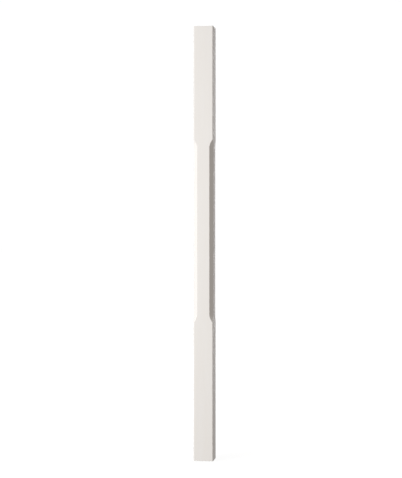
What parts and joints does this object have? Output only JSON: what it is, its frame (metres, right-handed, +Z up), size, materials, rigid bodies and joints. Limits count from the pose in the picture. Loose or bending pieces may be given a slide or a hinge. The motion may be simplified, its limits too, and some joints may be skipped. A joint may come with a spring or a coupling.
{
  "type": "stair spindle",
  "caption": "Square primed timber stair spindle with stop-chamfered edges between plain end blocks, set between a base rail and a handrail.",
  "frame": {"origin": "centre of the square end face of the foot", "axes": "+Z up the spindle from the foot to the head, +X and +Y square to its side faces"},
  "size_m": [0.041, 0.041, 0.9],
  "materials": {
    "painted_timber": "warm white primer, brushed or sprayed, low sheen"
  },
  "bodies": {
    "root": {"spindle": "painted_timber"}
  },
  "joints": []
}
